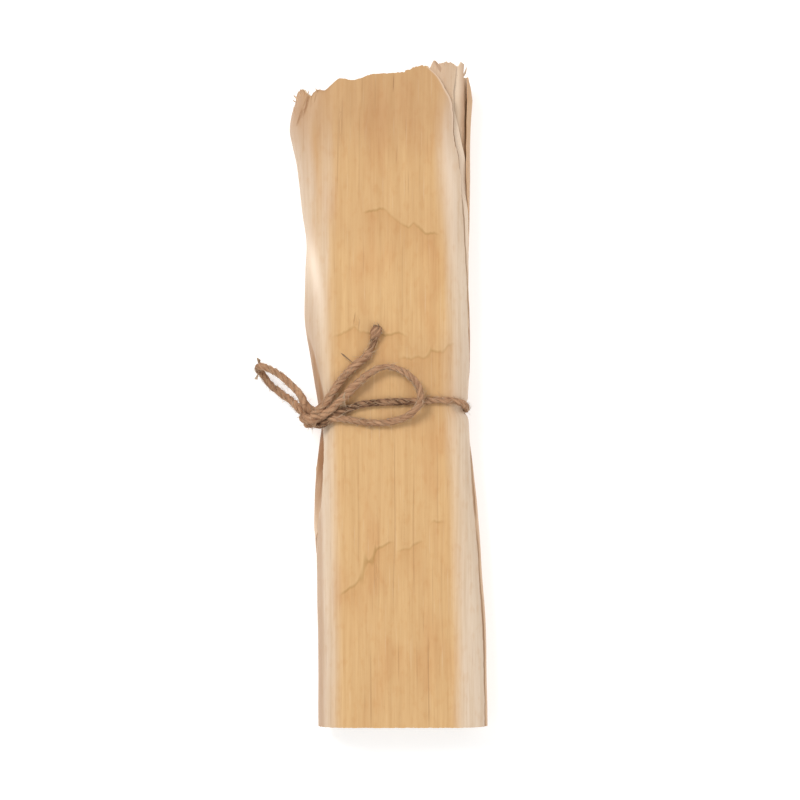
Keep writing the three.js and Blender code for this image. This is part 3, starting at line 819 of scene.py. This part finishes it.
def sheath(
    node, slot, face, inside, columns, rows, left, right, torn, left_flare=flush, right_flare=flush,
    left_curl=flush, right_curl=flush, swell=1.0, seed=1, mark=None, pale=0.0, fold=None, rim=SPONGE,
):
    """A sheath as a closed sheet, bent round the section, with ridges along it, a straight cut end with open
    air chambers and a torn end. Inside is how many sheaths lie over it, and None is flat in the middle. Left
    and right are how far it goes round the shoulders, and torn is where it ends. Flare lets a margin stand
    off, curl turns its rim in again, and fold presses it in. Mark gives what its skin shows, and rim is the
    material of the two long edges"""
    across = np.linspace(-1, 1, columns + 1)[None]
    share = np.linspace(0, 1, rows + 1)[:, None]
    frayed = 0.4 + 1.1 * fade(np.abs(across), 0.45, 0.75)
    ragged = frayed * (0.3 * uneven(across * 55, 0, seed) + 0.25 * uneven(across * 19, 2, seed))
    cut = CUT_Y + CUT_WAVE * uneven(across * 60, 0, seed + 3) + CUT_WAVE
    y = cut + (torn(across) + ragged - cut) * share
    half, _, centre, flat = section(y)
    radius = half - SHEET / 2 - inside * PITCH if inside is not None else np.zeros_like(y)
    left_end = -flat - left(y, radius) - worn(y, seed)
    right_end = flat + right(y, radius) + worn(y + OTHER_SIDE, seed)
    arc = left_end + (right_end - left_end) * (across + 1) / 2
    end = np.where(arc < 0, -left_end, right_end)
    margin = np.maximum(np.abs(arc) - flat, 0) / np.maximum(end - flat, LEAST_MARGIN)
    from_edge = np.minimum(arc - left_end, right_end - arc)
    relief = layered(arc, y, RIDGES, seed) * swell
    relief = relief + 0.35 * margin**2 * uneven(y / 16, arc / 14, seed + 5)
    flare = np.where(arc < 0, left_flare(y), right_flare(y))
    curl = np.where(arc < 0, left_curl(y), right_curl(y)) * fade(margin, CURL_FROM, 1)
    thick = SHEET_RIM + (SHEET - SHEET_RIM) * fade(from_edge, 0, RIM_WIDTH)
    out = SHEET / 2 + flare * margin**2 * (1 - curl)
    x = on_section(y, radius, arc, face, out)[..., 0]
    if fold:
        relief = relief + fold(x, y)
    outer = on_section(y, radius, arc, face, out + relief - RIDGE_LEVEL)
    inner = on_section(y, radius, arc, face, out - thick + INNER_RIDGES * relief)
    for sheet in (outer, inner):
        sheet[..., 2] = np.maximum(sheet[..., 2], SHEATH_FLOOR)
    # Open air chambers at the cut end, between the two skins
    wall = (np.arange(columns + 1) % CHAMBER_COLUMNS == 0) | (from_edge[0] < SOLID_RIM)
    deep = np.where(wall, WALL_DEPTH, CHAMBER_DEPTH)[:, None] * np.array([0, 1, 0])
    chambers = [outer[0] + (inner[0] - outer[0]) * part + deep for part in CHAMBER_SIDES]
    corners = np.vstack([outer.reshape(-1, 3), inner.reshape(-1, 3), *chambers])
    size = (rows + 1) * (columns + 1)
    o = np.arange(size).reshape(rows + 1, columns + 1)
    i = o + size
    a = np.arange(columns + 1) + 2 * size
    b = a + columns + 1

    def strip(p, q):
        return np.stack([p[:-1], p[1:], q[1:], q[:-1]], -1)

    def sheet_faces(g):
        return np.stack([g[:-1, :-1], g[:-1, 1:], g[1:, 1:], g[1:, :-1]], -1).reshape(-1, 4)

    groups = [
        (SKIN, sheet_faces(o)), (PAPER, sheet_faces(i)[:, ::-1]), (SPONGE, strip(o[-1], i[-1])),
        (SPONGE, strip(a, o[0])), (SPONGE, strip(b, a)), (SPONGE, strip(i[0], b)),
        (rim, strip(o[:, 0], i[:, 0])), (rim, strip(i[:, -1], o[:, -1])),
    ]
    faces = np.vstack([group for _, group in groups])
    if face == BACK:
        faces = faces[:, ::-1]
    which = np.concatenate([np.full(len(group), index) for index, group in groups])
    values = {key: np.full_like(arc, value) for key, value in UNMARKED.items()}
    values.update(across=arc + centre, along=y, pale=np.full_like(arc, pale))
    if mark:
        values.update(mark(types.SimpleNamespace(
            x=x, y=y, arc=arc, margin=margin, from_right=right_end - arc, from_torn=torn(across) - y,
        )))
    values = {key: np.concatenate([v.ravel(), v.ravel(), v[0], v[0]]) for key, v in values.items()}
    piece(node + "_bark", corners, faces, [SKINS[slot], papery, sponge], which, values, node, slot)


# Where the golden face ends and where the pale margins are full, at the left and at the right
left_gold = through([[-153, -20], [-57, -20], [-25, -21.5], [27, -23], [60, -24], [100, -22], [139, -21]])
left_pale = through([
    [-153, -29.5], [-57, -30], [-25, -30.5], [27, -34], [60, -33.5], [80, -36], [100, -41], [115, -47],
    [139, -58],
])
right_gold = through([
    [-153, 27.5], [-60, 25.5], [-25, 24], [20, 23], [60, 23], [90, 20.5], [110, 18.8], [150, 21.5],
])
right_pale = through([
    [-153, 36.5], [-60, 36], [-25, 34], [20, 33], [60, 32], [90, 30.5], [110, 28.5], [150, 34],
])
BORDER = ((0.8, 2.6, 60, 41), (0.35, 1.3, 40, 42), (0.8, 6, 24, 43))


def fold_width(y):
    """How wide the margin is folded down beside the knot"""
    return 0.5 + 2.7 * fade(y, 36, 0)


def front_marks(at):
    """Golden in the middle with pale margins, torn in places and darker towards the torn end, with painted
    shade and a painted highlight
    """
    x, y, arc = at.x, at.y, at.arc
    from_left, from_right = x - left_side(y), right_side(y) - x
    # The pale margins have a ragged border, and a golden and a pale strip run side by side at the upper left
    ragged = x + layered(arc, y, BORDER)
    pale = np.maximum(fade(ragged, left_gold(y), left_pale(y)), fade(ragged, right_gold(y), right_pale(y)))
    strips = 0.24 * bump(ragged, -28.2, 2.2) - 0.36 * bump(ragged, -33.4, 2.4)
    pale = np.clip(pale + strips * band(y, 48, 66, 112, 132), 0, 1)
    # Beside the knot the margin is folded down, and its turned-down side is painted brown as painted shade.
    # The
    # rims are a little darker than the face: painted shade where the shoulders turn away from the light
    wide = fold_width(y)
    fold = fade(from_left, wide + 0.4, wide - 0.4) * band(y, -20, -6, 20, 38)
    fold = (0.74 + 0.2 * uneven(arc / 0.8, y / 20, 44)) * fold
    rim = (
        0.48 * fade(from_left, 4.4, 1.6) * fade(y, -44, -60)
        + 0.34 * fade(from_left, 8, 2) * band(y, 2, 12, 36, 60)
        + 0.1 * fade(x, -20, -28) * fade(y, -92, -112) + 0.1 * fade(from_right, 4, 1.5) * fade(y, -10, -30)
    )
    # Darker towards the torn end, most of all at its left corner and along its edge, and painted shade of the
    # right loop on the bark inside it and beside it
    darker_and_painted_shade = (
        0.1 * fade(y, 60, 76) + 0.26 * fade(y, 100, 132) + 0.12 * fade(y, 84, 104) * fade(x, -24, -34)
        + 0.25 * fade(at.from_torn, 1.6, 0.2) * fade(x, -20, -30) + 0.22 * bump(x, -42, 4.5) * bump(y, 131, 8)
        + 0.12 * fade(x, 2, 12) * band(y, -20, -8, 20, 34) + 0.36 * bump(x, -10, 4.6) * bump(y, 3, 4.6)
    )
    # Painted highlight on the bulge at the left; paler on the right margin, and along the lip of the torn
    # corner
    left_bulge_highlight = 0.95 * bump(x - (57 - y) * 0.15, -34.4, 2.5) * bump(y, 58, 16)
    right_bulge = 0.4 * bump(x - (95 - y) * 0.07, 27.6, 2.8) * bump(y, 92, 26)
    lip = 0.75 * fade(at.from_right, 1.2, 0.3) * fade(y, 112, 132)
    tear_offset, tear, bare = torn_skin(x, y)
    vein_offset, vein = long_veins(x, y)
    return {
        "pale": 0.97 * pale, "brown": np.maximum(fold, darker_and_painted_shade + rim),
        "bleach": np.maximum(np.maximum(left_bulge_highlight, right_bulge), lip),
        "tear_offset": tear_offset, "tear": tear * (1 - 0.6 * pale), "bare": bare * (1 - 0.6 * pale),
        "vein_offset": vein_offset, "vein": vein,
    }


def front_fold(x, y):
    """The margin turns down sharply beside the knot"""
    return -0.5 * bump(x - left_side(y), fold_width(y), 0.7) * band(y, -20, -6, 16, 36)


FRONT_SEED = 11
front_right = degrees([
    [-153, 64], [-57, 64], [-36, 68], [-25, 80], [-6, 95], [20, 90], [34, 73], [48, 66], [74, 54], [98, 44],
    [110, 34.5], [120, 26], [132, 22], [137, 15], [145, -7], [150, -29],
])
sheath(
    "front_sheath", "front_bark", FRONT, 0, 150, 240,
    degrees([
        [-153, 100], [-70, 100], [-60, 84], [-53, 60], [-46, 52], [-30, 52], [-22, 62], [-15, 80], [-6, 95],
        [11, 100], [66, 107], [150, 107],
    ]),
    front_right,
    through([
        [-1, 135], [-0.93, 136.2], [-0.88, 137.6], [-0.8, 138.6], [-0.7, 139.6], [-0.64, 138],
        [-0.575, 136.4], [-0.545, 138], [-0.49, 139.3], [-0.41, 139], [-0.34, 140.9], [-0.235, 144.1],
        [-0.14, 144.3], [-0.07, 143.6], [0.04, 144.4], [0.2, 146.3], [0.43, 146.8], [0.65, 147.6],
        [0.78, 149.1], [0.88, 149.8], [1, 150],
    ]),
    right_flare=through([[30, 0], [60, 0.3], [120, 0.4], [150, 0.6]]),
    seed=FRONT_SEED, mark=front_marks, fold=front_fold,
)


def past_front(x, y):
    """How far a place is to the right of the front sheath's right edge"""
    half, _, _, flat = section(y)
    radius = half - SHEET / 2
    edge = flat + front_right(y, radius) + worn(y + OTHER_SIDE, FRONT_SEED)
    return x - on_section(y, radius, edge, FRONT, SHEET / 2)[..., 0]


def groove_marks(at):
    """Brown in the groove at the lower right, pale beside the torn corner, and a painted shadow line on this
    sheath just beyond the front sheath's edge
    """
    right = fade(at.arc, 5, 15)
    groove = 0.75 * fade(at.margin, 0.55, 0.75) * fade(at.y, -8, -20)
    return {
        "brown": (groove + 0.12 * fade(at.y, 132, 142)) * right,
        "bleach": 0.55 * right * fade(at.margin, 0.2, 0.6) * band(at.y, 50, 70, 122, 136),
        # The veins carry a painted shadow line just beyond the front sheath's edge
        "vein_offset": past_front(at.x, at.y) - 0.35, "vein": 1.8 * right * band(at.y, 18, 34, 128, 134),
    }


sheath(
    "second_sheath", "inner_bark", FRONT, 1, 110, 150,
    degrees([[-153, 85], [-6, 85], [150, 100]]),
    degrees([
        [-153, 85], [-6, 80], [60, 80], [75, 80], [96, 76], [108, 64], [117, 52], [123, 44], [131, 34],
        [137, 31], [151, 42],
    ]),
    through([
        [-1, 133], [-0.5, 135.5], [0, 141], [0.4, 144.5], [0.66, 147.5], [0.72, 152.3], [0.745, 152.6],
        [0.775, 150.8], [0.81, 151.8], [0.9, 152.3], [0.96, 151.8], [1, 150.3],
    ]),
    right_flare=through([
        [-153, 1], [-25, 1], [-10, 0], [15, 0], [34, 2], [60, 2.2], [90, 2.1], [108, 1.6], [117, 1.2],
        [131, 0.7], [140, 0.9],
    ]),
    seed=23, pale=0.3, mark=groove_marks,
)


def third_marks(at):
    """Pale under the torn corner, a little brown below it, and painted shade towards the slot beside the back
    sheath
    """
    right = fade(at.arc, 5, 15)
    brown = 0.1 * fade(at.y, 140, 126) + 0.6 * fade(at.margin, 0.8, 1)
    return {"bleach": 0.3 * fade(at.y, 130, 140) * right, "brown": brown * right * fade(at.y, 30, 60)}


sheath(
    "third_sheath", "inner_bark", FRONT, 2, 100, 150,
    degrees([[-153, 80], [-6, 80], [150, 95]]),
    degrees([[-153, 85], [-6, 85], [60, 80], [100, 76], [108, 68], [117, 62], [150, 58]]),
    through([
        [-1, 134.5], [-0.5, 136.5], [0, 141], [0.5, 146], [0.8, 149.5], [0.9, 151.4], [0.93, 151.2],
        [0.952, 149.6], [0.98, 152], [1, 150.8],
    ]),
    right_flare=through([
        [20, 0], [40, 1.4], [60, 3.2], [75, 3], [98, 2.6], [108, 2.8], [117, 3.3], [126, 3.85], [150, 4.1],
    ]),
    seed=37, pale=0.3, mark=third_marks,
)

FOLD_GAP, DRAWN_IN = 4, 1.0


def folded_under(y, radius):
    """Round the right shoulder and back under the whole width, up to a gap"""
    flat = section(y)[3]
    return np.pi * radius + 2 * flat - FOLD_GAP


def drawn_in(y, radius):
    """A margin that ends before the shoulder"""
    return np.full_like(y, -DRAWN_IN)


sheath(
    "folded_sheath", "core_bark", FRONT, 3, 120, 100,
    degrees([[-153, 150], [150, 150]]),
    folded_under,
    through([
        [-1, 133.5], [-0.7, 134.5], [-0.5, 138], [-0.2, 142], [0.1, 144], [0.35, 143], [0.7, 137], [1, 133.5],
    ]),
    seed=41, swell=0.7,
)
sheath(
    "core_strip", "core_bark", FRONT, None, 50, 90,
    drawn_in,
    drawn_in,
    through([[-1, 133], [-0.3, 137], [0.3, 143], [1, 145]]),
    seed=53, swell=0.7,
)


def slot_marks(at):
    """Painted shade: the inner sheath's right rim is brown where it shows in the slot beside the back sheath,
    less so towards the torn end
    """
    brown = (0.9 - 0.65 * fade(at.y, 86, 108)) * fade(at.margin, 0.7, 0.9) * fade(at.y, 5, 25)
    return {"brown": brown * (at.arc > 0)}


sheath(
    "inner_back_sheath", "inner_bark", BACK, 1, 90, 130,
    degrees([[-153, 85], [-6, 85], [150, 70]]),
    degrees([[-153, 85], [-6, 85], [25, 90], [86, 92], [99, 116], [106, 124], [150, 124]]),
    through([[-1, 133.5], [-0.4, 136], [0.2, 141], [1, 146]]),
    right_flare=through([[70, 0], [99, 2.2], [132, 2.6], [141, 3.4], [150, 3.6]]),
    right_curl=through([[86, 0], [99, 0.9], [114, 0.7], [150, 0.7]]),
    seed=61, pale=0.1, mark=slot_marks,
)
NIB_Y = -34


def back_marks(at):
    """Painted shade where the margins go under the front sheath, with a pale nib at the left, and a painted
    shadow line at the right beside the front sheath's edge"""
    y, margin, left = at.y, at.margin, at.arc < 0
    dark = 0.92 * (0.55 + 0.45 * fade(y, -44, -32)) * fade(margin, 0.45, 0.75) * band(y, -62, -46, -16, -6)
    nib = bump(y, NIB_Y, 2) * fade(margin, 0.84, 0.74)
    groove = (
        0.5 * fade(margin, 0.86, 0.94) * fade(y, -10, -24) + 0.04 * fade(y, 84, 96) * fade(margin, 0.4, 0.6)
        + 0.6 * fade(margin, 0.6, 0.8) * band(y, 0, 12, 36, 52)
    )
    # A painted shadow line beside the front sheath's edge, carried as a vein
    line = (1.6 + 0.5 * uneven(y / 12, 0, 72)) * fade(y, -12, -24) * fade(margin, 0.66, 0.74)
    pale = np.maximum(0.75 * fade(y, 10, -30) * left, 0.45 * fade(y, 60, 30))
    return {
        "pale": pale * fade(margin, 0.3, 0.9), "brown": np.where(left, dark * (1 - 0.8 * nib), groove),
        "vein": np.where(left, 0, line * (1 - 0.9 * bump(y, -60, 5))),
        "vein_offset": (past_front(at.x, y) - 0.5) / 1.5,
    }


back_left_flare = through([[-153, 0], [-70, 0], [-60, 1.2], [-25, 1.2], [-12, 0.4], [-6, 0]])
sheath(
    "back_sheath", "back_bark", BACK, 0, 130, 160,
    degrees([
        [-153, 76], [-75, 76], [-62, 112], [-52, 132], [-28, 132], [-18, 112], [-10, 90], [-6, 76], [11, 72],
        [66, 64], [150, 64],
    ]),
    degrees([
        [-153, 122], [-57, 122], [-36, 118], [-20, 98], [-6, 76], [6, 88], [18, 96], [34, 98], [66, 97],
        [84, 100], [91, 109], [98, 113], [150, 112],
    ]),
    through([
        [-1, 134], [-0.6, 135.5], [0, 140], [0.5, 143], [0.8, 141], [0.905, 135.5], [0.96, 141.5], [1, 145.6],
    ]),
    left_flare=lambda y: back_left_flare(y) + 0.7 * bump(y, NIB_Y, 1.6),
    right_flare=through([
        [-153, 0.9], [-57, 0.9], [-25, 0.6], [-6, 0], [11, 1.2], [71, 1.2], [96, 1.6], [124, 1.75], [136, 3],
        [145, 3.2],
    ]),
    left_curl=through([[-70, 0], [-58, 2], [-14, 2], [-8, 0]]),
    right_curl=through([[-153, 2], [48, 2], [66, 1.1], [75, 0.87], [150, 0.87]]),
    seed=71, mark=back_marks, rim=SKIN,
)

# Splinters at the torn corners: x and y of root and tip, width, how far the tip lifts and how brown it is
SPLINTER_SIDES, SPLINTER_THICKNESS, SPLINTER_PALE = 4, [0, 0, 0.2], 0.45
SPLINTER_BOW, SPLINTER_TILT, SPLINTER_ROOTED, SPLINTER_APART = 0.18, 0.15, 0.25, 11
FULL_FRONT_Y = 136  # beyond it, splinters keep the height that the front has here


def splinters(name, slot, drop, rows):
    """Thin slivers of skin, torn off along the fibres, that still stand at a torn end"""
    t = ALONG
    corners, faces, values = [], [], {"across": [], "along": [], "brown": []}
    for number, (x0, y0, x1, y1, wide, lift, brown) in enumerate(rows):
        run = np.array([x1 - x0, y1 - y0])
        beside = np.array([run[1], -run[0]]) / np.linalg.norm(run)
        bow = SPLINTER_BOW * np.linalg.norm(run) * (t - t * t) * (-1) ** number
        spine = np.array([x0, y0]) + t * run + beside * bow
        half = wide / 2 * (1 - 0.75 * t**1.5) * (0.15 + 0.95 * fade(t, 0, 0.5))
        height = front_height(spine[:, :1], np.minimum(spine[:, 1:], FULL_FRONT_Y)) - drop
        height = height + lift * t**2 - SPLINTER_ROOTED * (1 - t)
        left = np.hstack([spine - beside * half, height + SPLINTER_TILT * half])
        right = np.hstack([spine + beside * half, height - SPLINTER_TILT * half])
        rings = np.stack([left, right, right - SPLINTER_THICKNESS, left - SPLINTER_THICKNESS], 1)
        corners.append(rings.reshape(-1, 3))
        grid, tube_faces = tube(FIBRE_POINTS, SPLINTER_SIDES, number)
        faces += [tube_faces[:, [0, 3, 2, 1]], np.stack([grid[0], grid[-1][::-1]])]
        values["across"].append(rings[..., 0].ravel() + SPLINTER_APART * number)
        values["along"].append(rings[..., 1].ravel())
        values["brown"].append(np.full(grid.size, brown))
    values = {key: np.concatenate(value) for key, value in values.items()}
    plain = {**UNMARKED, "pale": SPLINTER_PALE}
    values = {key: np.full_like(values["across"], value) for key, value in plain.items()} | values
    piece(
        name, np.vstack(corners), np.vstack(faces), [SKINS[slot]], None, values, None, slot, SPLINTER_SHARP
    )


splinters("front_sheath_splinters", "front_bark", 0.5, [
    (-41.6, 134.5, -43.9, 137.6, 1.1, 0.6, 0.35), (-42.6, 134.2, -44.2, 135.4, 0.7, 0.9, 0.5),
    (-40.2, 136, -41.8, 139, 0.9, 0.5, 0.3), (-38.6, 136.4, -39.4, 139.9, 0.8, 0.8, 0.4),
    (-38.2, 135.5, -36.6, 139, 0.7, 0.6, 0.45), (-35.4, 134.5, -36.2, 137.4, 0.6, 0.5, 0.4),
    (-34.6, 136.3, -32.6, 139.3, 0.8, 0.7, 0.3), (-32.2, 138, -33.6, 139.9, 0.7, 0.5, 0.4),
    (-30.6, 138, -31.8, 139.6, 0.6, 0.4, 0.3), (-42.8, 128, -43.9, 132, 0.6, 0.4, 0.35),
])
splinters("second_sheath_splinters", "inner_bark", 2.4, [
    (24.6, 146, 20.9, 152.6, 1.9, 0.6, 0.55), (23.2, 148.6, 21.6, 152.2, 0.8, 0.9, 0.45),
    (26.3, 149, 25.2, 152.2, 0.9, 0.4, 0.15), (31.2, 146, 32.4, 151.8, 1.3, -3, 0.2),
    (33.6, 145, 35.6, 150.6, 1.2, -4.5, 0.25), (32.8, 146.5, 31.4, 150.6, 0.8, -3, 0.3),
])

# Floor of white acrylic, lit from below so that it shows almost no shadow, and the light of a soft studio
FLOOR_HALF, FLOOR_GLOW, STUDIO_GLOW = 3000, 0.5, 0.66
acrylic, add = material("white lit acrylic")
surface = add("BsdfPrincipled", {
    "Base Color": paint("#DADAD9"), "Roughness": 0.6, "IOR": ACRYLIC_IOR, "Emission Color": paint("#FFFFFF"),
    "Emission Strength": FLOOR_GLOW,
})
add("OutputMaterial", {"Surface": surface})
floor_corners = [[x * FLOOR_HALF, y * FLOOR_HALF, 0] for x, y in ((-1, -1), (1, -1), (1, 1), (-1, 1))]
piece("floor", floor_corners, [[0, 1, 2, 3]], [acrylic])

scene.view_settings.view_transform = "Standard"
world = bpy.data.worlds.new("studio")
scene.world = world
world.use_nodes = True
world.node_tree.nodes["Background"].inputs["Color"].default_value = paint("#FFFFFF")
world.node_tree.nodes["Background"].inputs["Strength"].default_value = STUDIO_GLOW


def softbox(name, place, size, power):
    """A square lamp turned to the bundle, in metres and watts"""
    made = bpy.data.objects.new(name, bpy.data.lights.new(name, "AREA"))
    made.data.size = size
    made.data.energy = power
    made.location = place
    x, y, z = place
    made.rotation_euler = (math.atan2(math.hypot(x, y), z), 0, math.atan2(x, -y))
    scene.collection.objects.link(made)


softbox("key softbox", (-1.1, 1.2, 2.2), 0.8, 34)
softbox("fill softbox", (1.6, -0.8, 2.2), 1.8, 12)
